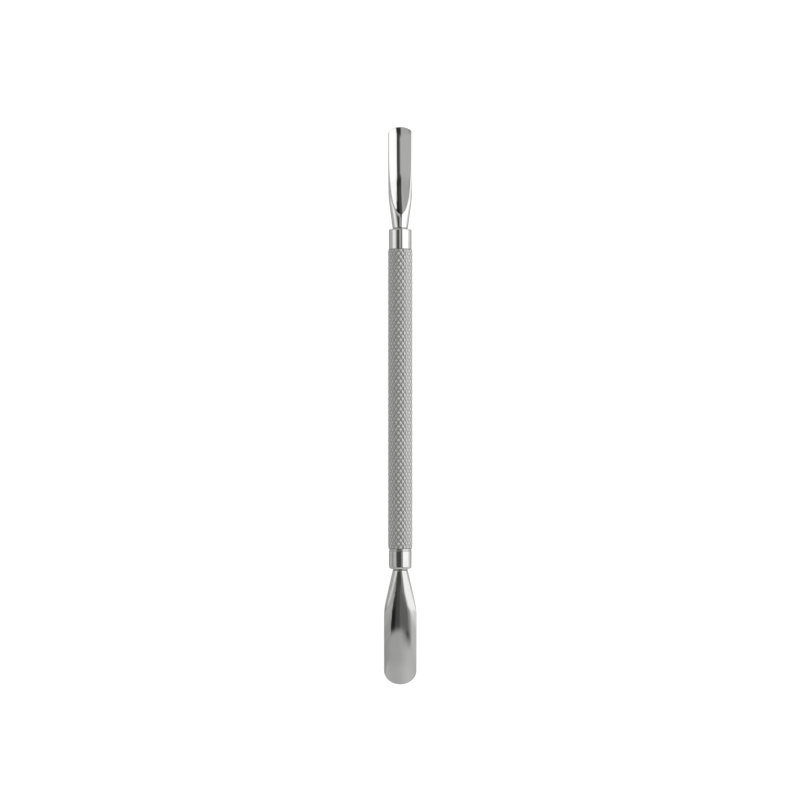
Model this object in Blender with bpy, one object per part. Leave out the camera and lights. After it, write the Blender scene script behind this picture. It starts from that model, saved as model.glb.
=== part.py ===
"""Double-ended cuticle pusher with a hollow knurled handle.

The tool lies on its handle, lengthwise along Y, and the origin is on the surface under its middle.
The narrow gouge points to +Y with its hollow side up. The wide blade points to -Y with its hollow
side down. Both blades are forged with a round tang, which passes through a turned ferrule whose
spigot plugs the end of the handle tube. A ring of braze closes the joint between ferrule and blade.
"""

import math
from dataclasses import dataclass

import bmesh
import bpy
from mathutils import Vector

MM = 0.001

# Lengths along the tool, from the narrow tip to the wide tip
NARROW_REACH = 24.81 * MM
NARROW_JOINT = 0.24 * MM
NARROW_COLLAR = 4.80 * MM
HANDLE_LENGTH = 72.30 * MM
WIDE_COLLAR = 4.90 * MM
WIDE_JOINT = 0.35 * MM
WIDE_REACH = 28.05 * MM
OVERALL_LENGTH = (NARROW_REACH + NARROW_JOINT + NARROW_COLLAR + HANDLE_LENGTH
                  + WIDE_COLLAR + WIDE_JOINT + WIDE_REACH)

# Handle tube and its diamond knurl
HANDLE_RADIUS = 3.00 * MM
HANDLE_BORE_RADIUS = 2.20 * MM
HANDLE_CHAMFER = 0.40 * MM
KNURL_DEPTH = 0.22 * MM
KNURL_STARTS = 18
KNURL_ROWS = 86

# Ferrules
COLLAR_RADIUS = 2.72 * MM
NARROW_NOSE = 0.25 * MM
WIDE_NOSE = 0.60 * MM
SPIGOT_LENGTH = 8.00 * MM
LEAD_CHAMFER = 0.25 * MM
GROOVE_START = 0.25 * MM
GROOVE_WIDTH = 0.25 * MM
GROOVE_DEPTH = 0.15 * MM
TANG_RADIUS = 1.30 * MM
TANG_LENGTH = 11.50 * MM
SHOULDER_CHAMFER = 0.12 * MM
BRAZE_INSET = 0.02 * MM

# Clearances
FIT = 0.05 * MM
SEAM = 0.10 * MM

# Mesh fineness
TURNED_STEPS = 36
NOSE_STEPS = 3
LAND_COLUMNS = 4
HOLLOW_COLUMNS = 8
BLADE_STATIONS = 26
TIP_STATIONS = 7
SLIVER = 0.10

# Places along Y that follow from the lengths
NARROW_TIP_Y = OVERALL_LENGTH / 2
NARROW_NECK_Y = NARROW_TIP_Y - NARROW_REACH
HANDLE_TOP_Y = NARROW_NECK_Y - NARROW_JOINT - NARROW_COLLAR
HANDLE_FOOT_Y = HANDLE_TOP_Y - HANDLE_LENGTH
WIDE_NECK_Y = WIDE_REACH - OVERALL_LENGTH / 2
AXIS_HEIGHT = HANDLE_RADIUS


@dataclass(frozen=True)
class Blade:
    """One forged working end, described from its neck (u = 0) to its tip (u = reach).

    Heights are measured from the tool's axis, positive towards the hollow side.
    """

    reach: float            # length from the neck to the tip
    flare_width: float      # width at the neck that the flare starts from
    flare: float            # width gained per length in the flare
    full_width: float       # width of the finished blade
    widening: float         # width still gained per length beyond the flare
    flare_softness: float   # how gently the flare turns into the blade
    flat_start: float       # where the round neck begins to flatten
    flat_reach: float       # where it has become a flat blade
    rim: float              # thickness of the edge above the widest line
    belly: float            # depth of the rounded back below the widest line
    belly_reach: float      # where the back has thinned from the neck's depth to the belly's
    belly_power: float      # 0.5 gives an elliptic back, 1.0 a parabolic one
    tip_belly: float        # depth of the back left at the thinned tip
    hollow_radius: float    # radius of the hollow ground across the blade
    hollow_depth: float
    hollow_start: float     # where the hollow's pointed end begins
    run_out: float          # length over which the hollow deepens to 63% of its depth
    point_offset: float     # how far to +X the hollow's centre lies at its pointed end
    tip_offset: float       # and how far towards the tip, which it nears over the same length
    bend_start: float
    bend_radius: float      # radius of the bend towards the hollow side, or away from it if negative
    curl_length: float      # last stretch that turns a little more
    curl: float             # how far that stretch turns towards the hollow side
    tip_depth: float        # how far the rounded tip stands out beyond its corners


NARROW = Blade(
    reach=NARROW_REACH, flare_width=3.70 * MM, flare=0.27, full_width=5.72 * MM, widening=0.01,
    flare_softness=0.35 * MM, flat_start=2.2 * MM, flat_reach=14.2 * MM, rim=0.28 * MM,
    belly=1.55 * MM, belly_reach=14.2 * MM, belly_power=0.55, tip_belly=1.15 * MM,
    hollow_radius=5.00 * MM, hollow_depth=0.80 * MM, hollow_start=3.34 * MM, run_out=5.3 * MM,
    point_offset=0.27 * MM, tip_offset=-0.19 * MM, bend_start=3.2 * MM, bend_radius=-275.0 * MM,
    curl_length=3.0 * MM, curl=-0.18 * MM, tip_depth=1.93 * MM)

WIDE = Blade(
    reach=WIDE_REACH, flare_width=3.62 * MM, flare=0.465, full_width=7.95 * MM, widening=-0.002,
    flare_softness=0.50 * MM, flat_start=0.0 * MM, flat_reach=13.0 * MM, rim=0.32 * MM,
    belly=1.15 * MM, belly_reach=20.0 * MM, belly_power=0.70, tip_belly=0.90 * MM,
    hollow_radius=7.60 * MM, hollow_depth=0.85 * MM, hollow_start=5.00 * MM, run_out=7.0 * MM,
    point_offset=0.0 * MM, tip_offset=0.0 * MM, bend_start=10.0 * MM, bend_radius=49.15 * MM,
    curl_length=2.4 * MM, curl=0.05 * MM, tip_depth=3.40 * MM)


def clear_scene():
    for obj in list(bpy.data.objects):
        bpy.data.objects.remove(obj, do_unlink=True)


def metal(name, colour, roughness):
    """A plain metal; the colour is linear RGB."""
    material = bpy.data.materials.new(name)
    material.use_nodes = True
    shader = material.node_tree.nodes["Principled BSDF"]
    shader.inputs["Base Color"].default_value = (*colour, 1.0)
    shader.inputs["Metallic"].default_value = 1.0
    shader.inputs["Roughness"].default_value = roughness
    return material


def add_node(name, bm, material, y, turned_over=False):
    """Make one sub-part from a mesh whose own origin is on the tool's axis."""
    bmesh.ops.recalc_face_normals(bm, faces=bm.faces[:])
    mesh = bpy.data.meshes.new(name)
    bm.to_mesh(mesh)
    bm.free()
    mesh.shade_smooth()
    mesh.set_sharp_from_angle(angle=math.radians(32))
    mesh.materials.append(material)
    obj = bpy.data.objects.new(name, mesh)
    obj.location = (0.0, y, AXIS_HEIGHT)
    if turned_over:
        obj.rotation_euler = (math.pi, 0.0, 0.0)
    bpy.context.scene.collection.objects.link(obj)
    return obj


def turned(profile):
    """Spin a closed outline of (radius, y) points about the Y axis, with a corner straight down."""
    bm = bmesh.new()
    corners = [bm.verts.new((0.0, y, -radius)) for radius, y in profile]
    edges = [bm.edges.new((start, end)) for start, end in zip(corners, corners[1:] + corners[:1])]
    bmesh.ops.spin(bm, geom=corners + edges, cent=(0.0, 0.0, 0.0), axis=(0.0, 1.0, 0.0),
                   angle=2 * math.pi, steps=TURNED_STEPS, use_merge=True)
    return bm


def knurl_radius(step, row):
    """Peaks and valley crossings alternate from step to step and from row to row."""
    if row in (0, KNURL_ROWS):
        return HANDLE_RADIUS - KNURL_DEPTH
    if (step + row) % 2:
        return HANDLE_RADIUS - KNURL_DEPTH
    return HANDLE_RADIUS


def knurled_tube():
    """Handle tube, centred on its own origin: the knurl, two end chamfers, two faces and the bore."""
    bm = bmesh.new()
    steps = 2 * KNURL_STARTS
    half = HANDLE_LENGTH / 2
    knurl_half = half - HANDLE_CHAMFER
    row_pitch = 2 * knurl_half / KNURL_ROWS
    face_radius = COLLAR_RADIUS + 0.02 * MM

    def ring(y, radii):
        verts = []
        for step in range(steps):
            angle = 2 * math.pi * step / steps
            radius = radii(step)
            verts.append(bm.verts.new((radius * math.sin(angle), y, -radius * math.cos(angle))))
        return verts

    rings = [ring(-half, lambda step: HANDLE_BORE_RADIUS), ring(-half, lambda step: face_radius)]
    for row in range(KNURL_ROWS + 1):
        rings.append(ring(row * row_pitch - knurl_half, lambda step: knurl_radius(step, row)))
    rings += [ring(half, lambda step: face_radius), ring(half, lambda step: HANDLE_BORE_RADIUS)]

    for level, (lower, upper) in enumerate(zip(rings, rings[1:] + rings[:1])):
        for step in range(steps):
            after = (step + 1) % steps
            face = bm.faces.new((lower[step], lower[after], upper[after], upper[step]))
            row = level - 2
            if 0 <= row < KNURL_ROWS:
                rising = (step + row) % 2 == 0
                valley = (lower[after], upper[step]) if rising else (lower[step], upper[after])
                bmesh.utils.face_split(face, *valley)
    return bm


def ferrule_outline(collar_length, nose, with_groove):
    """Outline of a ferrule as (radius, y), with y = 0 at the handle's end and the nose at +y."""
    bore = TANG_RADIUS + FIT
    spigot = HANDLE_BORE_RADIUS - 2 * FIT
    groove = []
    if with_groove:
        floor = COLLAR_RADIUS - GROOVE_DEPTH
        groove = [
            (COLLAR_RADIUS, GROOVE_START),
            (floor, GROOVE_START + GROOVE_DEPTH / 2),
            (floor, GROOVE_START + GROOVE_WIDTH),
            (COLLAR_RADIUS, GROOVE_START + GROOVE_WIDTH + GROOVE_DEPTH / 2),
        ]
    corners = [
        (bore, -SPIGOT_LENGTH),
        (spigot - LEAD_CHAMFER, -SPIGOT_LENGTH),
        (spigot, LEAD_CHAMFER - SPIGOT_LENGTH),
        (spigot, SEAM),
        (COLLAR_RADIUS, SEAM),
        *groove,
    ]
    rounding = []
    for k in range(NOSE_STEPS + 1):
        turn = math.pi / 2 * k / NOSE_STEPS
        rounding.append((COLLAR_RADIUS - nose * (1 - math.cos(turn)),
                         collar_length - nose * (1 - math.sin(turn))))
    return corners + rounding + [(bore, collar_length)]


def braze_outline(joint_width, neck_radius):
    """Outline of a braze ring, which fills the joint from y = 0 to y = joint_width."""
    inner = TANG_RADIUS + FIT
    outer = neck_radius - BRAZE_INSET
    return [
        (inner, FIT),
        (outer, FIT),
        (outer, joint_width - FIT),
        (inner, joint_width - FIT),
    ]


def soft_min(a, b, softness):
    return (a + b - math.hypot(a - b, softness)) / 2


def ease(t):
    """Smooth step from 0 to 1."""
    t = min(max(t, 0.0), 1.0)
    return t * t * (3.0 - 2.0 * t)


def mix(a, b, t):
    return a + (b - a) * t


def half_width(blade, u):
    flaring = blade.flare_width + blade.flare * u
    finished = blade.full_width + blade.widening * u
    return soft_min(flaring, finished, blade.flare_softness) / 2


def widest_line(blade, u):
    """Height of the blade's widest line, which bends towards the hollow side and curls at the tip."""
    bent = max(u - blade.bend_start, 0.0)
    arc = math.sqrt(blade.bend_radius ** 2 - bent ** 2)
    bend = blade.bend_radius - math.copysign(arc, blade.bend_radius)
    curled = max(u - blade.reach + blade.curl_length, 0.0) / blade.curl_length
    return bend + blade.curl * curled ** 2


def hollow_growth(blade, u):
    """How far the hollow has grown from its pointed end (0) towards its full depth (1)."""
    return 1.0 - math.exp(-max(u - blade.hollow_start, 0.0) / blade.run_out)


def hollow_depth(blade, u):
    return blade.hollow_depth * hollow_growth(blade, u)


def hollow_centre(blade, u):
    """Where the hollow's lowest line runs, sideways."""
    return mix(blade.point_offset, blade.tip_offset, hollow_growth(blade, u))


def flatness(blade, u):
    """0 on the round neck, 1 on the finished blade."""
    return ease((u - blade.flat_start) / (blade.flat_reach - blade.flat_start))


def crown_height(blade, u, x):
    """The front surface before the hollow is ground: round at the neck, flat-topped on the blade."""
    flat = flatness(blade, u)
    neck = half_width(blade, 0.0)
    across = min(abs(x) / half_width(blade, u), 1.0)
    fullness = math.sqrt(1.0 - across ** mix(2.0, 6.0, flat))
    return widest_line(blade, u) + mix(neck, blade.rim, flat) * fullness


def ground_height(blade, u, x):
    """The surface of the grinding wheel's cut."""
    depth = hollow_depth(blade, u)
    chord = math.sqrt(2 * blade.hollow_radius * depth - depth ** 2)
    floor = crown_height(blade, u, chord) - depth
    off_centre = x - hollow_centre(blade, u)
    return floor + blade.hollow_radius - math.sqrt(blade.hollow_radius ** 2 - off_centre ** 2)


def hollow_edge(blade, u, side):
    """Where the cut leaves the crown on the side at +1 or -1.

    Before the hollow starts, it is a sliver beside the hollow's centre.
    """
    inside = hollow_centre(blade, u)
    outside = side * 0.999 * half_width(blade, u)
    least = inside + side * SLIVER * half_width(blade, u)
    for _ in range(24):
        x = (inside + outside) / 2
        if ground_height(blade, u, x) < crown_height(blade, u, x):
            inside = x
        else:
            outside = x
    return max(inside * side, least * side) * side


def front_height(blade, u, x):
    """The crown with the hollow ground into it."""
    if u <= blade.hollow_start:
        return crown_height(blade, u, x)
    return min(ground_height(blade, u, x), crown_height(blade, u, x))


def back_height(blade, u, x):
    thinned = ease((u - blade.reach + 2 * blade.tip_depth) / (2 * blade.tip_depth))
    belly = mix(blade.belly, blade.tip_belly, thinned)
    across = min(abs(x) / half_width(blade, u), 1.0)
    power = mix(0.5, blade.belly_power, flatness(blade, u))
    depth = mix(half_width(blade, 0.0), belly, ease(u / blade.belly_reach))
    return widest_line(blade, u) - depth * (1.0 - across ** 2) ** power


def column_places(blade, u):
    """Where the mesh columns stand across the blade, from +1 to -1 of its half width."""
    right, left = (hollow_edge(blade, u, side) / half_width(blade, u) for side in (1, -1))
    right_angle = math.acos(right)
    left_angle = math.acos(-left)
    right_land = [math.cos(right_angle * k / LAND_COLUMNS) for k in range(LAND_COLUMNS)]
    left_land = [-math.cos(left_angle * k / LAND_COLUMNS) for k in range(LAND_COLUMNS)]
    hollow = [mix(right, left, k / HOLLOW_COLUMNS) for k in range(HOLLOW_COLUMNS + 1)]
    return right_land + hollow + left_land[::-1]


def blade_section(blade, station):
    """Points round one section: the front from +X to -X, then the back from -X to +X.

    Towards the tip the sections bow, so that the last one has the tip's rounded outline.
    """
    bow_start = blade.reach - 3 * blade.tip_depth
    bow = blade.tip_depth * max((station - bow_start) / (3 * blade.tip_depth), 0.0) ** 1.5
    front = []
    back = []
    for place in column_places(blade, station):
        u = station - bow * (1.0 - math.sqrt(1.0 - place ** 2))
        x = place * half_width(blade, u)
        front.append(Vector((x, u, front_height(blade, u, x))))
        back.append(Vector((x, u, back_height(blade, u, x))))
    return front + back[-2:0:-1]


def round_section(blade, radius, y):
    """A circle with the same columns as the blade's sections."""
    places = column_places(blade, 0.0)
    front = [Vector((radius * place, y, radius * math.sqrt(1.0 - place ** 2))) for place in places]
    back = [Vector((point.x, y, -point.z)) for point in front]
    return front + back[-2:0:-1]


def blade_stations(blade):
    """Places of the sections: even along the blade, closer together at the rounded tip."""
    tip_start = blade.reach - blade.tip_depth
    body = [mix(SHOULDER_CHAMFER, tip_start, k / BLADE_STATIONS) for k in range(BLADE_STATIONS)]
    tip = [tip_start + blade.tip_depth * k / TIP_STATIONS for k in range(TIP_STATIONS + 1)]
    return body + tip


def forged_blade(blade, joint_width):
    """Tang, shoulder and blade in one solid, with y = 0 at the neck and the tip at +y."""
    bm = bmesh.new()
    tang_end = -joint_width - TANG_LENGTH
    sections = [
        round_section(blade, TANG_RADIUS - LEAD_CHAMFER, tang_end),
        round_section(blade, TANG_RADIUS, tang_end + LEAD_CHAMFER),
        round_section(blade, TANG_RADIUS, 0.0),
        round_section(blade, half_width(blade, 0.0) - SHOULDER_CHAMFER, 0.0),
    ]
    sections += [blade_section(blade, station) for station in blade_stations(blade)]
    rings = [[bm.verts.new(point) for point in section] for section in sections]
    for lower, upper in zip(rings, rings[1:]):
        count = len(lower)
        for k in range(count):
            after = (k + 1) % count
            bm.faces.new((lower[k], lower[after], upper[after], upper[k]))
    bm.faces.new(rings[0])
    close_tip(bm, rings[-1])
    return bm


def close_tip(bm, ring):
    """Join the front and the back of the last section column by column."""
    last = len(ring) // 2
    for k in range(last):
        corners = [ring[k], ring[k + 1], ring[-k - 1], ring[-k] if k else ring[0]]
        bm.faces.new(list(dict.fromkeys(corners)))


def build():
    clear_scene()
    satin = metal("satin_steel", (0.56, 0.56, 0.55), 0.32)
    polished = metal("polished_steel", (0.62, 0.62, 0.61), 0.10)
    blade_steel = metal("blade_steel", (0.60, 0.60, 0.59), 0.16)
    braze = metal("braze", (0.50, 0.49, 0.48), 0.30)

    add_node("knurled_handle_tube", knurled_tube(), satin, (HANDLE_TOP_Y + HANDLE_FOOT_Y) / 2)

    add_node("narrow_end_ferrule", turned(ferrule_outline(NARROW_COLLAR, NARROW_NOSE, False)),
             polished, HANDLE_TOP_Y)
    add_node("wide_end_ferrule", turned(ferrule_outline(WIDE_COLLAR, WIDE_NOSE, True)),
             polished, HANDLE_FOOT_Y, turned_over=True)

    add_node("narrow_end_braze_ring", turned(braze_outline(NARROW_JOINT, half_width(NARROW, 0.0))),
             braze, HANDLE_TOP_Y + NARROW_COLLAR)
    add_node("wide_end_braze_ring", turned(braze_outline(WIDE_JOINT, half_width(WIDE, 0.0))),
             braze, HANDLE_FOOT_Y - WIDE_COLLAR, turned_over=True)

    add_node("narrow_pusher_blade", forged_blade(NARROW, NARROW_JOINT), blade_steel, NARROW_NECK_Y)
    add_node("wide_pusher_blade", forged_blade(WIDE, WIDE_JOINT), blade_steel, WIDE_NECK_Y,
             turned_over=True)


build()
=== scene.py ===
"""Looks of the double-ended cuticle pusher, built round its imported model.

Every CAD node is replaced by a finer piece in the same place: the handle with its diamond knurl, the
turned ferrules, the two forged and ground blades, and the braze rings. The steel has the finishes of
the real tool: bright knurl, turned and polished collars, a mirror-polished gouge and a satin wide
blade. Round the tool stands the photographer's light tent, which its polished faces reflect.
"""

import math
from dataclasses import dataclass

import bmesh
import bpy
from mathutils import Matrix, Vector

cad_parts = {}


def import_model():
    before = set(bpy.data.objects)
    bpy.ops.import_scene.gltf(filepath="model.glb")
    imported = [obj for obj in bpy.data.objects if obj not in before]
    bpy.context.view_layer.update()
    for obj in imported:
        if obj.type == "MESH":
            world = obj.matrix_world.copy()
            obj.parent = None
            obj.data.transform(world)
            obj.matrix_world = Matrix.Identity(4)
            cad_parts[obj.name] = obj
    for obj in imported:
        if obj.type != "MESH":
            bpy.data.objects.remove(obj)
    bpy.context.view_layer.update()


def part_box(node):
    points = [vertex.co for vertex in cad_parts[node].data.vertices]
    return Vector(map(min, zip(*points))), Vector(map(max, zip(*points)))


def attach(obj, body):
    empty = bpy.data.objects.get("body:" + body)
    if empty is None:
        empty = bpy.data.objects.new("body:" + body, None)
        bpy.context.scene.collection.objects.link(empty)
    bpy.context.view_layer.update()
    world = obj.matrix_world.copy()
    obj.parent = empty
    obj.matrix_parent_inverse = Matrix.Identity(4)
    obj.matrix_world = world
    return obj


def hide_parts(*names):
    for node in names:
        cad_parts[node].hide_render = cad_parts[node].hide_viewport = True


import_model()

MM = 0.001
PER_MM = 1 / MM

# Sizes that the CAD model states and its boxes don't give
KNURL_DEPTH = 0.22 * MM
KNURL_STARTS = 18
KNURL_ROWS = 86
HANDLE_CHAMFER = 0.40 * MM
HANDLE_BORE_RADIUS = 2.20 * MM
TANG_RADIUS = 1.30 * MM
LEAD_CHAMFER = 0.25 * MM
NARROW_NOSE = 0.25 * MM
WIDE_NOSE = 0.60 * MM
SPIGOT_LENGTH = 8.00 * MM
GROOVE_START = 0.25 * MM
GROOVE_WIDTH = 0.25 * MM
GROOVE_DEPTH = 0.15 * MM
FIT = 0.05 * MM

# How far the handle's flat end faces stand out round the collars
END_FACE_RIM = 0.02 * MM

# Collar and tube end meet closer here than in the CAD model, whose bodies keep a clear gap
SEAM = 0.01 * MM

# Rounding of sharp edges
COLLAR_FILLET = 0.03 * MM
BRAZE_FILLET = 0.05 * MM
SHOULDER_ROUND = 0.12 * MM
HOLLOW_EDGE_ROUND = 0.03 * MM
CHAMFER_ROUND = 0.02 * MM

# Mesh fineness
KNURL_CELL = 5          # steps across half a diamond
TURNED_STEPS = 144
FILLET_STEPS = 4
NOSE_STEPS = 8
CHAMFER_STEPS = 4
SHOULDER_STEPS = 4
LAND_COLUMNS = 12       # on each side of a blade's hollow
HOLLOW_COLUMNS = 40
BLADE_STATIONS = 130    # from the neck to where the rounded tip begins
TIP_STATIONS = 26
NOSE_STATIONS = 7       # round the tip's edge


# ---------------------------------------------------------------- small helpers

def soft_min(a, b, softness):
    """The smaller of two values, with a rounded crossover."""
    return (a + b - math.hypot(a - b, softness)) / 2


def ease(t):
    """Smooth step from 0 to 1."""
    t = min(max(t, 0.0), 1.0)
    return t * t * (3.0 - 2.0 * t)


def mix(a, b, t):
    return a + (b - a) * t


def cad_span(node):
    """Lowest and highest y of a CAD node."""
    low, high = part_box(node)
    return low.y, high.y


def cad_radius(node):
    low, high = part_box(node)
    return (high.x - low.x) / 2


HANDLE_RADIUS = cad_radius("knurled_handle_tube")
COLLAR_RADIUS = cad_radius("narrow_end_ferrule")
AXIS_HEIGHT = HANDLE_RADIUS
HANDLE_FOOT_Y, HANDLE_TOP_Y = cad_span("knurled_handle_tube")


def make_object(name, bm, material):
    """Turn a bmesh into a linked object with one material."""
    mesh = bpy.data.meshes.new(name)
    bm.to_mesh(mesh)
    bm.free()
    mesh.materials.append(material)
    obj = bpy.data.objects.new(name, mesh)
    bpy.context.scene.collection.objects.link(obj)
    return obj


def skin(bm, rings):
    """Faces between each ring of vertices and the next."""
    for lower, upper in zip(rings, rings[1:]):
        count = len(lower)
        for k in range(count):
            after = (k + 1) % count
            bm.faces.new((lower[k], lower[after], upper[after], upper[k]))


def place_piece(name, bm, material, node, y, turned_over=False):
    """Turn a mesh built round the tool's axis into a piece that stands for one CAD node."""
    bmesh.ops.recalc_face_normals(bm, faces=bm.faces[:])
    piece = make_object(name, bm, material)
    piece.data.shade_smooth()
    piece.location = (0.0, y, AXIS_HEIGHT)
    if turned_over:
        piece.rotation_euler = (math.pi, 0.0, 0.0)
    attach(piece, "root")
    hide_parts(node)


# ---------------------------------------------------------------- turned pieces

def filleted(outline, radius):
    """Round every corner of a closed outline of (radius, y) points.

    A guard point just outside each end of a fillet keeps the smooth shading off the straight stretches.
    """
    longest_share = 0.35    # of a straight stretch that one fillet may take up
    guard = 1.2             # place of the guard points, as a multiple of the fillet's reach
    rounded = []
    for before, corner, after in zip(outline[-1:] + outline[:-1], outline, outline[1:] + outline[:1]):
        p, q, r = Vector(before), Vector(corner), Vector(after)
        reach = min(radius, (p - q).length * longest_share, (r - q).length * longest_share)
        inward = (p - q).normalized() * reach
        outward = (r - q).normalized() * reach
        rounded.append(q + inward * guard)
        for k in range(FILLET_STEPS + 1):
            t = k / FILLET_STEPS
            rounded.append(q + inward * (1 - t) ** 2 + outward * t ** 2)
        rounded.append(q + outward * guard)
    return rounded


def turned(outline):
    """Spin a closed outline of (radius, y) points about the Y axis."""
    bm = bmesh.new()
    rings = []
    for step in range(TURNED_STEPS):
        angle = 2 * math.pi * step / TURNED_STEPS
        rings.append([bm.verts.new((radius * math.sin(angle), y, -radius * math.cos(angle)))
                      for radius, y in outline])
    skin(bm, rings + rings[:1])
    return bm


def ferrule_outline(collar_length, nose, with_groove):
    """Outline with y = 0 at the handle's end and the rounded nose at +y."""
    bore = TANG_RADIUS + FIT
    spigot = HANDLE_BORE_RADIUS - 2 * FIT
    groove = []
    if with_groove:
        groove_radius = COLLAR_RADIUS - GROOVE_DEPTH
        groove = [
            (COLLAR_RADIUS, GROOVE_START),
            (groove_radius, GROOVE_START + GROOVE_DEPTH / 2),
            (groove_radius, GROOVE_START + GROOVE_WIDTH),
            (COLLAR_RADIUS, GROOVE_START + GROOVE_WIDTH + GROOVE_DEPTH / 2),
        ]
    corners = [
        (bore, -SPIGOT_LENGTH),
        (spigot - LEAD_CHAMFER, -SPIGOT_LENGTH),
        (spigot, LEAD_CHAMFER - SPIGOT_LENGTH),
        (spigot, SEAM),
        (COLLAR_RADIUS, SEAM),
        *groove,
    ]
    rounding = []
    for k in range(NOSE_STEPS + 1):
        turn = math.pi / 2 * k / NOSE_STEPS
        rounding.append((COLLAR_RADIUS - nose * (1 - math.cos(turn)),
                         collar_length - nose * (1 - math.sin(turn))))
    return corners + rounding + [(bore, collar_length)]


def braze_outline(radius, width):
    inner = TANG_RADIUS + FIT
    return [(inner, 0.0), (radius, 0.0), (radius, width), (inner, width)]


# ---------------------------------------------------------------- knurled handle

# Knurl profile, where 0 is a ridge and 1 the point where straight flanks would meet
RIDGE_WEAR = 0.08
GROOVE_FLOOR = 0.90
GROOVE_FLOOR_ROUND = 0.06
CROSSING_ROUND = 0.03


def knurl_drop(step, row):
    """How deep the surface lies below the peaks. Steps and rows count half diamonds.

    The two families of helical grooves run along step + row and step - row. Each groove has straight
    flanks and a small rounded floor, and the peaks between them are rubbed slightly round.
    """
    drops = []
    for phase in ((step + row) / 2, (step - row) / 2):
        off_ridge = 2 * abs(phase - round(phase))
        wear_and_groove_shade = math.hypot(off_ridge, RIDGE_WEAR) - RIDGE_WEAR
        drops.append(soft_min(wear_and_groove_shade, GROOVE_FLOOR, GROOVE_FLOOR_ROUND))
    deepest = -soft_min(-drops[0], -drops[1], CROSSING_ROUND)
    return KNURL_DEPTH * max(deepest, 0.0)


def knurled_handle():
    """The handle, centred on its own origin; the end chamfers cut through the knurl."""
    bm = bmesh.new()
    half = (HANDLE_TOP_Y - HANDLE_FOOT_Y) / 2
    knurl_half = half - HANDLE_CHAMFER
    row_pitch = 2 * knurl_half / KNURL_ROWS
    steps = 2 * KNURL_STARTS * KNURL_CELL
    face_radius = COLLAR_RADIUS + END_FACE_RIM

    def chamfer_radius(y):
        inward = half - abs(y)
        return face_radius + (HANDLE_RADIUS - face_radius) * inward / HANDLE_CHAMFER

    def ring(y, radius_at):
        verts = []
        for step in range(steps):
            angle = 2 * math.pi * step / steps
            radius = radius_at(step / KNURL_CELL)
            verts.append(bm.verts.new((radius * math.sin(angle), y, -radius * math.cos(angle))))
        return verts

    def knurl_ring(y):
        row = (y + knurl_half) / row_pitch
        return ring(y, lambda step: soft_min(HANDLE_RADIUS - knurl_drop(step, row),
                                             chamfer_radius(y), CHAMFER_ROUND))

    fine_rows = KNURL_ROWS * KNURL_CELL
    levels = [row_pitch * k / KNURL_CELL - knurl_half for k in range(fine_rows + 1)]
    chamfer_levels = [half - HANDLE_CHAMFER * k / CHAMFER_STEPS for k in range(CHAMFER_STEPS)]
    rings = [ring(-half, lambda step: HANDLE_BORE_RADIUS)]
    rings += [knurl_ring(-y) for y in chamfer_levels]
    first_knurl = len(rings)
    rings += [knurl_ring(y) for y in levels]
    rings += [knurl_ring(y) for y in reversed(chamfer_levels)]
    rings.append(ring(half, lambda step: HANDLE_BORE_RADIUS))

    for level, (lower, upper) in enumerate(zip(rings, rings[1:] + rings[:1])):
        fine_row = level - first_knurl
        for step in range(steps):
            after = (step + 1) % steps
            corners = (lower[step], lower[after], upper[after], upper[step])
            if not 0 <= fine_row < fine_rows:
                bm.faces.new(corners)
                continue
            rising = (step // KNURL_CELL + fine_row // KNURL_CELL) % 2 == 0
            if rising:
                bm.faces.new((corners[0], corners[1], corners[3]))
                bm.faces.new((corners[1], corners[2], corners[3]))
            else:
                bm.faces.new((corners[0], corners[1], corners[2]))
                bm.faces.new((corners[0], corners[2], corners[3]))
    return bm


# ---------------------------------------------------------------- forged blades

@dataclass(frozen=True)
class Blade:
    """One forged working end, described from its neck (u = 0) to its tip (u = reach).

    Heights are measured from the tool's axis, positive towards the hollow side.
    """

    reach: float            # length from the neck to the tip
    flare_width: float      # width at the neck that the flare starts from
    flare: float            # width gained per length in the flare
    full_width: float       # width of the finished blade
    widening: float         # width still gained per length beyond the flare
    flare_softness: float   # how gently the flare turns into the blade
    flat_start: float       # where the round neck begins to flatten
    flat_reach: float       # where it has become a flat blade
    rim: float              # thickness of the edge above the widest line
    belly: float            # depth of the rounded back below the widest line
    belly_reach: float      # where the back has thinned from the neck's depth to the belly's
    belly_power: float      # 0.5 gives an elliptic back, 1.0 a parabolic one
    tip_belly: float        # depth of the back left at the thinned tip
    hollow_radius: float    # radius of the hollow ground across the blade
    hollow_depth: float
    hollow_start: float     # where the hollow's pointed end begins
    run_out: float          # length over which the hollow deepens to 63% of its depth
    point_offset: float     # how far to +X the hollow's centre lies at its pointed end
    tip_offset: float       # and how far towards the tip, which it nears over the same length
    bend_start: float
    bend_radius: float      # radius of the bend towards the hollow side, or away from it if negative
    curl_length: float      # last stretch that turns a little more
    curl: float             # how far that stretch turns towards the hollow side
    tip_depth: float        # how far the rounded tip stands out beyond its corners


NARROW = Blade(
    reach=24.81 * MM, flare_width=3.70 * MM, flare=0.27, full_width=5.72 * MM, widening=0.01,
    flare_softness=0.35 * MM, flat_start=2.2 * MM, flat_reach=14.2 * MM, rim=0.28 * MM,
    belly=1.55 * MM, belly_reach=14.2 * MM, belly_power=0.55, tip_belly=1.15 * MM,
    hollow_radius=5.00 * MM, hollow_depth=0.80 * MM, hollow_start=3.34 * MM, run_out=5.3 * MM,
    point_offset=0.27 * MM, tip_offset=-0.19 * MM, bend_start=3.2 * MM, bend_radius=-275.0 * MM,
    curl_length=3.0 * MM, curl=-0.18 * MM, tip_depth=1.93 * MM)

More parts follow.
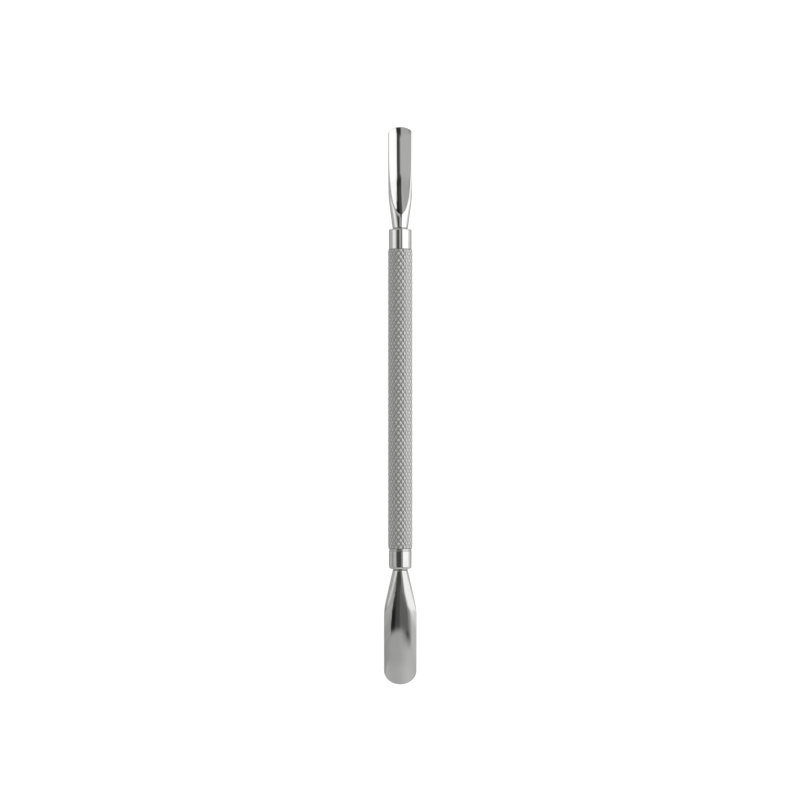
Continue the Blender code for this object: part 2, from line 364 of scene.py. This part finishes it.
WIDE = Blade(
    reach=28.05 * MM, flare_width=3.62 * MM, flare=0.465, full_width=7.95 * MM, widening=-0.002,
    flare_softness=0.50 * MM, flat_start=0.0 * MM, flat_reach=13.0 * MM, rim=0.32 * MM,
    belly=1.15 * MM, belly_reach=20.0 * MM, belly_power=0.70, tip_belly=0.90 * MM,
    hollow_radius=7.60 * MM, hollow_depth=0.85 * MM, hollow_start=5.00 * MM, run_out=7.0 * MM,
    point_offset=0.0 * MM, tip_offset=0.0 * MM, bend_start=10.0 * MM, bend_radius=49.15 * MM,
    curl_length=2.4 * MM, curl=0.05 * MM, tip_depth=3.40 * MM)

# Powers that shape the cross-section: round at the neck, and a flat-topped crown on the blade
NECK_CROWN_POWER = 2.0
BLADE_CROWN_POWER = 6.0
NECK_BACK_POWER = 0.5


def half_width(blade, u):
    flaring = blade.flare_width + blade.flare * u
    finished = blade.full_width + blade.widening * u
    return soft_min(flaring, finished, blade.flare_softness) / 2


def widest_line(blade, u):
    """Height of the blade's widest line, which bends towards the hollow side and curls at the tip."""
    bent = max(u - blade.bend_start, 0.0)
    arc = math.sqrt(blade.bend_radius ** 2 - bent ** 2)
    bend = blade.bend_radius - math.copysign(arc, blade.bend_radius)
    curled = max(u - blade.reach + blade.curl_length, 0.0) / blade.curl_length
    return bend + blade.curl * curled ** 2


def hollow_growth(blade, u):
    """How far the hollow has grown from its pointed end (0) towards its full depth (1)."""
    return 1.0 - math.exp(-max(u - blade.hollow_start, 0.0) / blade.run_out)


def hollow_depth(blade, u):
    return blade.hollow_depth * hollow_growth(blade, u)


def hollow_centre(blade, u):
    """Where the hollow's lowest line runs, sideways."""
    return mix(blade.point_offset, blade.tip_offset, hollow_growth(blade, u))


def flatness(blade, u):
    """0 on the round neck, 1 on the finished blade."""
    return ease((u - blade.flat_start) / (blade.flat_reach - blade.flat_start))


def crown_height(blade, u, x):
    """The front surface before the hollow is ground: round at the neck, flat-topped on the blade."""
    flat = flatness(blade, u)
    neck = half_width(blade, 0.0)
    across = min(abs(x) / half_width(blade, u), 1.0)
    fullness = math.sqrt(1.0 - across ** mix(NECK_CROWN_POWER, BLADE_CROWN_POWER, flat))
    return widest_line(blade, u) + mix(neck, blade.rim, flat) * fullness


def ground_height(blade, u, x):
    """The surface of the grinding wheel's cut."""
    depth = hollow_depth(blade, u)
    chord = math.sqrt(2 * blade.hollow_radius * depth - depth ** 2)
    lowest = crown_height(blade, u, chord) - depth
    off_centre = x - hollow_centre(blade, u)
    return lowest + blade.hollow_radius - math.sqrt(blade.hollow_radius ** 2 - off_centre ** 2)


def hollow_edge(blade, u, side):
    """Where the cut leaves the crown on the side at +1 or -1.

    Before the hollow starts, it is a sliver beside the hollow's centre.
    """
    widest_share = 0.999
    sliver_share = 0.04
    halvings = 24
    inside = hollow_centre(blade, u)
    outside = side * widest_share * half_width(blade, u)
    least = inside + side * sliver_share * half_width(blade, u)
    for _ in range(halvings):
        x = (inside + outside) / 2
        if ground_height(blade, u, x) < crown_height(blade, u, x):
            inside = x
        else:
            outside = x
    return max(inside * side, least * side) * side


def front_height(blade, u, x):
    """The crown with the hollow ground into it; the edge between them is polished slightly round."""
    depth = hollow_depth(blade, u)
    crown = crown_height(blade, u, x)
    if depth == 0.0:
        return crown
    shallow_end_round = 0.2 * depth
    softness = min(HOLLOW_EDGE_ROUND, shallow_end_round)
    return soft_min(ground_height(blade, u, x), crown, softness)


def back_height(blade, u, x):
    """The rounded back, which thins over the last stretch, twice as long as the tip is deep."""
    thinning = 2 * blade.tip_depth
    thinned = ease((u - blade.reach + thinning) / thinning)
    belly = mix(blade.belly, blade.tip_belly, thinned)
    across = min(abs(x) / half_width(blade, u), 1.0)
    power = mix(NECK_BACK_POWER, blade.belly_power, flatness(blade, u))
    depth = mix(half_width(blade, 0.0), belly, ease(u / blade.belly_reach))
    return widest_line(blade, u) - depth * (1.0 - across ** 2) ** power


def column_places(blade, u):
    """Where the mesh columns stand across the blade, from +1 to -1 of its half width.

    Those in the hollow are spaced part evenly and part like a sine, so that they crowd at its edges.
    """
    even_share = 0.4
    right, left = (hollow_edge(blade, u, side) / half_width(blade, u) for side in (1, -1))
    right_angle = math.acos(right)
    left_angle = math.acos(-left)
    right_land = [math.cos(right_angle * k / LAND_COLUMNS) for k in range(LAND_COLUMNS)]
    left_land = [-math.cos(left_angle * k / LAND_COLUMNS) for k in range(LAND_COLUMNS)]
    hollow = []
    for k in range(HOLLOW_COLUMNS + 1):
        t = 1 - 2 * k / HOLLOW_COLUMNS
        spread = even_share * t + (1 - even_share) * math.sin(math.pi / 2 * t)
        hollow.append(mix(left, right, (1 + spread) / 2))
    return right_land + hollow + left_land[::-1]


def blade_section(blade, station, fullness=1.0):
    """Points round one section: the front from +X to -X, then the back from -X to +X.

    Towards the tip the sections bow, so that the last one has the tip's rounded outline.
    A fullness below 1 draws front and back together, for the rounded edge of the tip.
    """
    bow_length = 3 * blade.tip_depth
    bow_power = 1.5
    bow_start = blade.reach - bow_length
    bow_share = min(max((station - bow_start) / bow_length, 0.0), 1.0)
    bow = blade.tip_depth * bow_share ** bow_power
    front = []
    back = []
    for place in column_places(blade, station):
        u = station - bow * (1.0 - math.sqrt(1.0 - place ** 2))
        x = place * half_width(blade, u)
        high = front_height(blade, u, x)
        low = back_height(blade, u, x)
        middle = (high + low) / 2
        front.append(Vector((x, u, mix(middle, high, fullness))))
        back.append(Vector((x, u, mix(middle, low, fullness))))
    return front + back[-2:0:-1]


def round_section(blade, radius, y):
    """A circle with the same columns as the blade's sections."""
    places = column_places(blade, 0.0)
    front = [Vector((radius * place, y, radius * math.sqrt(1.0 - place ** 2))) for place in places]
    back = [Vector((point.x, y, -point.z)) for point in front]
    return front + back[-2:0:-1]


def forged_blade(blade, tang_length):
    """Tang, shoulder and blade in one body, with y = 0 at the neck and the tip at +y."""
    bm = bmesh.new()
    neck = half_width(blade, 0.0)
    sections = [
        round_section(blade, TANG_RADIUS - LEAD_CHAMFER, -tang_length),
        round_section(blade, TANG_RADIUS, LEAD_CHAMFER - tang_length),
        round_section(blade, TANG_RADIUS, 0.0),
    ]
    for k in range(SHOULDER_STEPS + 1):
        turn = math.pi / 2 * k / SHOULDER_STEPS
        radius = neck - SHOULDER_ROUND * (1 - math.sin(turn))
        sections.append(round_section(blade, radius, SHOULDER_ROUND * (1 - math.cos(turn))))
    tip_start = blade.reach - blade.tip_depth
    nose_radius = blade.rim / 2
    nose_start = blade.reach - nose_radius
    for k in range(1, BLADE_STATIONS):
        sections.append(blade_section(blade, mix(SHOULDER_ROUND, tip_start, k / BLADE_STATIONS)))
    for k in range(TIP_STATIONS):
        sections.append(blade_section(blade, mix(tip_start, nose_start, k / TIP_STATIONS)))
    for k in range(NOSE_STATIONS):
        turn = math.pi / 2 * k / NOSE_STATIONS
        sections.append(blade_section(blade, nose_start + nose_radius * math.sin(turn), math.cos(turn)))
    rings = [[bm.verts.new(point) for point in section] for section in sections]
    skin(bm, rings)
    bm.faces.new(rings[0])
    close_tip(bm, rings[-1])
    return bm


def close_tip(bm, ring):
    """Join the front and the back of the last section column by column."""
    last = len(ring) // 2
    for k in range(last):
        corners = [ring[k], ring[k + 1], ring[-k - 1], ring[-k] if k else ring[0]]
        bm.faces.new(list(dict.fromkeys(corners)))


# ---------------------------------------------------------------- materials

def math_node(tree, operation, first, second):
    """A Math node; each operand is a number or another node's output."""
    node = tree.nodes.new("ShaderNodeMath")
    node.operation = operation
    for socket, value in zip(node.inputs, (first, second)):
        if isinstance(value, float):
            socket.default_value = value
        else:
            tree.links.new(value, socket)
    return node.outputs["Value"]


def own_axes(tree):
    """X, Y and Z outputs of the object's own coordinates."""
    place = tree.nodes.new("ShaderNodeTexCoord")
    split = tree.nodes.new("ShaderNodeSeparateXYZ")
    tree.links.new(place.outputs["Object"], split.inputs["Vector"])
    return split.outputs


class Steel:
    """Builds one steel material in the coordinates of the piece that wears it."""

    def __init__(self, name):
        self.material = bpy.data.materials.new(name)
        self.material.use_nodes = True
        self.tree = self.material.node_tree
        self.shader = self.tree.nodes["Principled BSDF"]
        self.shader.inputs["Metallic"].default_value = 1.0
        self.edge_tint(0.35)
        self.place = self.tree.nodes.new("ShaderNodeTexCoord")

    def link(self, source, target):
        self.tree.links.new(source, target)

    def edge_tint(self, grey):
        """How much of a grazing reflection is left."""
        self.shader.inputs["Specular Tint"].default_value = (grey, grey, grey, 1.0)

    def noise(self, scale, detail=3.0, roughness=0.5):
        """Noise over the piece, with a scale per axis in features per millimetre."""
        stretch = self.tree.nodes.new("ShaderNodeMapping")
        stretch.inputs["Scale"].default_value = [value * PER_MM for value in scale]
        self.link(self.place.outputs["Object"], stretch.inputs["Vector"])
        node = self.tree.nodes.new("ShaderNodeTexNoise")
        node.inputs["Scale"].default_value = 1.0
        node.inputs["Detail"].default_value = detail
        node.inputs["Roughness"].default_value = roughness
        self.link(stretch.outputs["Vector"], node.inputs["Vector"])
        return node.outputs["Fac"]

    def around(self, scale, detail=2.0):
        """Noise in rings round the tool's axis, with a scale in features per millimetre."""
        node = self.tree.nodes.new("ShaderNodeTexNoise")
        node.noise_dimensions = "1D"
        node.inputs["Scale"].default_value = scale * PER_MM
        node.inputs["Detail"].default_value = detail
        self.link(own_axes(self.tree)["Y"], node.inputs["W"])
        return node.outputs["Fac"]

    def axis_distance(self):
        """Distance from the tool's axis; a piece's own origin is on that axis."""
        axes = own_axes(self.tree)
        join = self.tree.nodes.new("ShaderNodeCombineXYZ")
        self.link(axes["X"], join.inputs["X"])
        self.link(axes["Z"], join.inputs["Z"])
        length = self.tree.nodes.new("ShaderNodeVectorMath")
        length.operation = "LENGTH"
        self.link(join.outputs["Vector"], length.inputs[0])
        return length.outputs["Value"]

    def remap(self, value, low, high, to_low, to_high):
        node = self.tree.nodes.new("ShaderNodeMapRange")
        node.inputs["From Min"].default_value = low
        node.inputs["From Max"].default_value = high
        node.inputs["To Min"].default_value = to_low
        node.inputs["To Max"].default_value = to_high
        self.link(value, node.inputs["Value"])
        return node.outputs["Result"]

    def spread(self, noise, low, high):
        """Stretch a noise, most of which lies between 0.3 and 0.7, over another range."""
        return self.remap(noise, 0.3, 0.7, low, high)

    def math(self, operation, first, second):
        return math_node(self.tree, operation, first, second)

    def roughness(self, value):
        self.link(value, self.shader.inputs["Roughness"])

    def colour(self, factor, dark, light):
        node = self.tree.nodes.new("ShaderNodeMix")
        node.data_type = "RGBA"
        node.inputs["A"].default_value = (*dark, 1.0)
        node.inputs["B"].default_value = (*light, 1.0)
        self.link(factor, node.inputs["Factor"])
        self.link(node.outputs["Result"], self.shader.inputs["Base Color"])

    def bump(self, height, distance, strength=1.0):
        node = self.tree.nodes.new("ShaderNodeBump")
        node.inputs["Distance"].default_value = distance
        node.inputs["Strength"].default_value = strength
        self.link(height, node.inputs["Height"])
        self.link(node.outputs["Normal"], self.shader.inputs["Normal"])


def knurl_steel():
    """Bright rolled knurl: the peaks are rubbed smooth and the grooves stay duller, and the colour is
    painted lighter on the peaks and darker in the grooves as painted shade.
    """
    steel = Steel("knurl_steel")
    radius = steel.axis_distance()
    height = steel.remap(radius, HANDLE_RADIUS - KNURL_DEPTH, HANDLE_RADIUS, 0.0, 1.0)
    patches = steel.noise((0.25, 0.06, 0.25))
    steel.edge_tint(0.8)
    # painted shade: the colour goes dark down in the grooves and light on the peaks, by height alone
    wear_and_groove_shade = steel.remap(height, 0.1, 0.5, 0.0, 1.0)
    steel.colour(wear_and_groove_shade, (0.30, 0.305, 0.295), (0.63, 0.635, 0.62))
    worn = steel.remap(height, 0.0, 1.0, 0.48, 0.40)
    steel.roughness(steel.math("ADD", worn, steel.spread(patches, -0.03, 0.05)))
    steel.bump(steel.noise((9.0, 9.0, 9.0), detail=2.0), 0.006 * MM)
    return steel.material


def polished_steel():
    """Turned and polished collars, with the faintest rings left by turning."""
    steel = Steel("polished_steel")
    rings = steel.around(6.0)
    clouds = steel.noise((0.5, 0.5, 0.5))
    steel.colour(clouds, (0.60, 0.60, 0.595), (0.66, 0.66, 0.65))
    steel.roughness(steel.spread(rings, 0.06, 0.14))
    steel.bump(rings, 0.0006 * MM)
    return steel.material


def mirror_steel():
    """Mirror-polished gouge, with hairlines along its length."""
    steel = Steel("mirror_steel")
    hairlines = steel.noise((14.0, 0.35, 14.0), detail=4.0)
    clouds = steel.noise((0.4, 0.15, 0.4))
    steel.colour(clouds, (0.61, 0.61, 0.605), (0.66, 0.66, 0.65))
    steel.roughness(steel.spread(hairlines, 0.03, 0.08))
    steel.bump(hairlines, 0.0004 * MM)
    return steel.material


def satin_steel():
    """Wide blade: fine lengthwise satin lines over a soft polish."""
    steel = Steel("satin_steel")
    lines = steel.noise((7.0, 0.10, 7.0), detail=5.0, roughness=0.6)
    clouds = steel.noise((0.5, 0.2, 0.5))
    steel.colour(clouds, (0.56, 0.56, 0.55), (0.62, 0.62, 0.61))
    steel.roughness(steel.spread(lines, 0.05, 0.10))
    strokes = steel.noise((2.2, 0.03, 2.2), detail=2.0)
    steel.bump(steel.math("ADD", lines, steel.math("MULTIPLY", strokes, 5.0)), 0.002 * MM)
    return steel.material


def braze_metal():
    """Dull grey filler metal, slightly uneven."""
    steel = Steel("braze_metal")
    grain = steel.noise((5.0, 5.0, 5.0))
    steel.colour(grain, (0.44, 0.435, 0.42), (0.58, 0.575, 0.56))
    steel.roughness(steel.spread(grain, 0.16, 0.28))
    steel.bump(grain, 0.01 * MM)
    return steel.material


# ---------------------------------------------------------------- the tool

def build_tool():
    polished = polished_steel()
    braze = braze_metal()
    handle_y = (HANDLE_TOP_Y + HANDLE_FOOT_Y) / 2
    place_piece("knurled_handle", knurled_handle(), knurl_steel(),
                "knurled_handle_tube", handle_y)

    ends = (
        ("narrow", NARROW, NARROW_NOSE, mirror_steel(), "mirror_blade_steel", 1.0, HANDLE_TOP_Y),
        ("wide", WIDE, WIDE_NOSE, satin_steel(), "satin_blade_steel", -1.0, HANDLE_FOOT_Y),
    )
    for end, blade, nose, finish, slot, outward, handle_end in ends:
        # the wide end is turned over, so that its rounded back lies on top and its hollow underneath
        turned_over = outward < 0

        def along(node):
            """Nearer and farther end of a CAD node, as distances outward from the handle's end."""
            return sorted(outward * (y - handle_end) for y in cad_span(node))

        collar_length = along(f"{end}_end_ferrule")[1]
        outline = filleted(ferrule_outline(collar_length, nose, with_groove=end == "wide"), COLLAR_FILLET)
        place_piece(f"{end}_ferrule", turned(outline), polished,
                    f"{end}_end_ferrule", handle_end, turned_over)

        ring_start, ring_end = along(f"{end}_end_braze_ring")
        if end == "narrow":
            ring_start = collar_length    # the narrow ring closes up to its collar
        radius = cad_radius(f"{end}_end_braze_ring")
        outline = filleted(braze_outline(radius, ring_end - ring_start), BRAZE_FILLET)
        place_piece(f"{end}_braze", turned(outline), braze,
                    f"{end}_end_braze_ring", handle_end + outward * ring_start, turned_over)

        tang_end, tip = along(f"{end}_pusher_blade")
        neck = tip - blade.reach
        place_piece(f"{end}_blade", forged_blade(blade, neck - tang_end), finish,
                    f"{end}_pusher_blade", handle_end + outward * neck, turned_over)


# ---------------------------------------------------------------- stage

TENT_RADIUS = 0.50
TENT_HALF_LENGTH = 1.00


@dataclass(frozen=True)
class Panel:
    """A lit patch of the tent.

    Seen from the tool, it spans some angles (-90 is the left horizon, 0 straight up, 90 the right one)
    and some places along the tool's length, in metres. Its glow fades out across its soft edges.
    """

    angles: tuple
    span: tuple
    glow: float
    angle_edge: float = 6.0
    span_edges: tuple = (0.03, 0.03)


FAR = TENT_HALF_LENGTH + 0.1

PANELS = (
    # the roof's dark lining, with the lighter camera opening over the narrow end
    Panel((-90, 90), (-FAR, FAR), 0.02),
    Panel((-90, 90), (-0.13, 0.28), 0.06, span_edges=(0.03, 0.10)),
    Panel((-16, 10), (0.33, FAR), 0.07, angle_edge=16.0, span_edges=(0.10, 0.03)),
    Panel((-10, 11), (0.035, 0.12), 0.45, angle_edge=5.0),
    # the large lamp on the right
    Panel((27, 60), (-0.12, 0.00), 1.38, angle_edge=10.0),
    Panel((60, 95), (-0.095, 0.00), 1.38, angle_edge=10.0),
    Panel((60, 98), (-0.12, -0.095), 0.90, angle_edge=10.0),
    Panel((21, 89), (0.00, 0.12), 1.65, angle_edge=8.0),
    Panel((32, 59), (0.12, 0.60), 1.50, angle_edge=8.0, span_edges=(0.03, 0.50)),
    Panel((59, 90), (0.12, 0.60), 1.05, angle_edge=8.0, span_edges=(0.03, 0.50)),
    Panel((26, 32), (0.12, 0.49), 1.45, angle_edge=6.0, span_edges=(0.03, 0.10)),
    Panel((20, 26), (0.12, 0.38), 1.45, angle_edge=6.0, span_edges=(0.03, 0.06)),
    Panel((16.5, 20), (0.12, 0.28), 1.45, angle_edge=6.0, span_edges=(0.03, 0.10)),
    Panel((36, 98), (-0.29, -0.12), 0.74, angle_edge=22.0, span_edges=(0.10, 0.03)),
    Panel((42, 84), (-0.16, -0.12), 0.30, angle_edge=20.0, span_edges=(0.06, 0.03)),
    Panel((9, 27), (-0.12, 0.00), 0.28, angle_edge=6.0),
    Panel((-2, 34), (-0.245, -0.12), 0.16, angle_edge=6.0),
    # the weaker lamp on the left
    Panel((-90, -44), (0.00, 0.12), 1.18, angle_edge=36.0),
    Panel((-74, -42), (-0.09, 0.00), 0.56, angle_edge=14.0),
    Panel((-90, -74), (-0.09, 0.00), 0.30, angle_edge=14.0),
    Panel((-69, -52), (-0.064, -0.033), 0.44, angle_edge=14.0, span_edges=(0.02, 0.02)),
    Panel((-84, -52), (-0.033, 0.00), 0.44, angle_edge=14.0, span_edges=(0.02, 0.03)),
    Panel((-88, -33), (-0.17, -0.09), 0.56, angle_edge=5.0),
    Panel((-88, -34), (-0.245, -0.17), 0.47, angle_edge=4.0),
    Panel((-18, -2), (-0.245, -0.12), 0.07, angle_edge=6.0),
    # the bare cloth at the ends
    Panel((-90, -2), (0.12, 0.24), 0.55, angle_edge=11.0, span_edges=(0.03, 0.06)),
    Panel((-52, -7.5), (0.24, FAR), 0.53, angle_edge=8.0, span_edges=(0.06, 0.03)),
    Panel((-90, -52), (0.24, FAR), 0.30, angle_edge=8.0, span_edges=(0.06, 0.03)),
    Panel((-40, 14), (-FAR, -0.245), 0.53, angle_edge=30.0, span_edges=(0.03, 0.04)),
    Panel((14, 90), (-FAR, -0.29), 0.53, angle_edge=30.0, span_edges=(0.03, 0.10)),
    Panel((-90, -40), (-FAR, -0.245), 0.45, angle_edge=30.0, span_edges=(0.03, 0.04)),
    Panel((-90, -40), (-FAR, -0.40), 0.16, angle_edge=30.0, span_edges=(0.03, 0.10)),
    Panel((10, 90), (-FAR, -0.29), 0.16, angle_edge=40.0, span_edges=(0.03, 0.10)),
    Panel((-90, 90), (-FAR, -0.50), 0.06, span_edges=(0.03, 0.25)),
)


FLOOR_HALF_SIZE = 3.0
FLOOR_GAP = 0.02 * MM


def floor():
    bm = bmesh.new()
    bmesh.ops.create_grid(bm, x_segments=4, y_segments=4, size=FLOOR_HALF_SIZE)
    obj = make_object("floor", bm, floor_white())
    obj.location.z = -FLOOR_GAP


def floor_white():
    """A white light table: brightest as seen directly, and the glow it gives to reflections is painted
    dim on the left and bright on the lamp's side to the right, as painted shade.
    """
    seen_directly = 0.78
    # painted shade: in reflections the glow is painted dim left of the tool and bright right of it
    reflected_left = 0.14
    reflected_right = 0.60
    fade_half_width = 0.03
    material = bpy.data.materials.new("floor_white")
    material.use_nodes = True
    tree = material.node_tree
    shader = tree.nodes["Principled BSDF"]
    shader.inputs["Base Color"].default_value = (0.66, 0.66, 0.66, 1.0)
    shader.inputs["Roughness"].default_value = 0.9
    shader.inputs["Emission Color"].default_value = (1.0, 1.0, 1.0, 1.0)
    across = tree.nodes.new("ShaderNodeMapRange")
    across.inputs["From Min"].default_value = -fade_half_width
    across.inputs["From Max"].default_value = fade_half_width
    across.inputs["To Min"].default_value = reflected_left
    across.inputs["To Max"].default_value = reflected_right
    tree.links.new(own_axes(tree)["X"], across.inputs["Value"])
    rays = tree.nodes.new("ShaderNodeLightPath")
    direct = math_node(tree, "MULTIPLY", rays.outputs["Is Camera Ray"], seen_directly)
    glow = math_node(tree, "MAXIMUM", across.outputs["Result"], direct)
    tree.links.new(glow, shader.inputs["Emission Strength"])
    return material


def light_tent():
    """A half cylinder of diffuser cloth over the tool, lit from outside."""
    steps = 60
    rows = 40
    bm = bmesh.new()
    rings = []
    for row in range(rows + 1):
        y = mix(-TENT_HALF_LENGTH, TENT_HALF_LENGTH, row / rows)
        ring = []
        for step in range(steps + 1):
            angle = math.radians(mix(-90.0, 90.0, step / steps))
            ring.append(bm.verts.new((TENT_RADIUS * math.sin(angle), y, TENT_RADIUS * math.cos(angle))))
        rings.append(ring)
    for lower, upper in zip(rings, rings[1:]):
        for k in range(steps):
            bm.faces.new((lower[k], upper[k], upper[k + 1], lower[k + 1]))
    obj = make_object("light_tent", bm, tent_cloth())
    obj.data.shade_smooth()
    obj.visible_camera = False


def tent_cloth():
    """The glow of the panels added together, from each point's angle round the tool and its y."""
    material = bpy.data.materials.new("tent_cloth")
    material.use_nodes = True
    tree = material.node_tree
    tree.nodes.clear()

    def rise(value, centre, edge):
        """0 below the centre and 1 above it, with a soft edge."""
        node = tree.nodes.new("ShaderNodeMapRange")
        node.interpolation_type = "SMOOTHSTEP"
        node.inputs["From Min"].default_value = centre - edge / 2
        node.inputs["From Max"].default_value = centre + edge / 2
        tree.links.new(value, node.inputs["Value"])
        return node.outputs["Result"]

    def window(value, ends, edges):
        """1 between the two ends and 0 outside them."""
        return math_node(tree, "SUBTRACT", rise(value, ends[0], edges[0]), rise(value, ends[1], edges[1]))

    axes = own_axes(tree)
    angle = math_node(tree, "ARCTAN2", axes["X"], axes["Z"])
    total = 0.0
    for panel in PANELS:
        angles = [math.radians(value) for value in panel.angles]
        across = window(angle, angles, [math.radians(panel.angle_edge)] * 2)
        along = window(axes["Y"], panel.span, panel.span_edges)
        patch = math_node(tree, "MULTIPLY", across, along)
        total = math_node(tree, "ADD", math_node(tree, "MULTIPLY", patch, panel.glow), total)

    emitter = tree.nodes.new("ShaderNodeEmission")
    tree.links.new(total, emitter.inputs["Strength"])
    out = tree.nodes.new("ShaderNodeOutputMaterial")
    tree.links.new(emitter.outputs["Emission"], out.inputs["Surface"])
    return material


def world():
    sky = bpy.data.worlds.new("studio")
    sky.use_nodes = True
    background = sky.node_tree.nodes["Background"]
    background.inputs["Color"].default_value = (1.0, 1.0, 1.0, 1.0)
    background.inputs["Strength"].default_value = 1.0
    bpy.context.scene.world = sky


def camera():
    """Looking straight down from about half a metre, with the narrow end up in the picture."""
    distance = 0.48
    aim = (-0.07 * MM, 1.445 * MM)
    view_width = 193.4 * MM
    data = bpy.data.cameras.new("camera")
    data.sensor_width = 36.0
    data.lens = data.sensor_width * (distance - AXIS_HEIGHT) / view_width
    data.clip_start = 0.01
    obj = bpy.data.objects.new("camera", data)
    obj.location = (*aim, distance)
    bpy.context.scene.collection.objects.link(obj)
    bpy.context.scene.camera = obj


def main():
    camera()
    build_tool()
    floor()
    light_tent()
    world()
    scene = bpy.context.scene
    scene.view_settings.view_transform = "Standard"
    scene.view_settings.look = "None"


main()
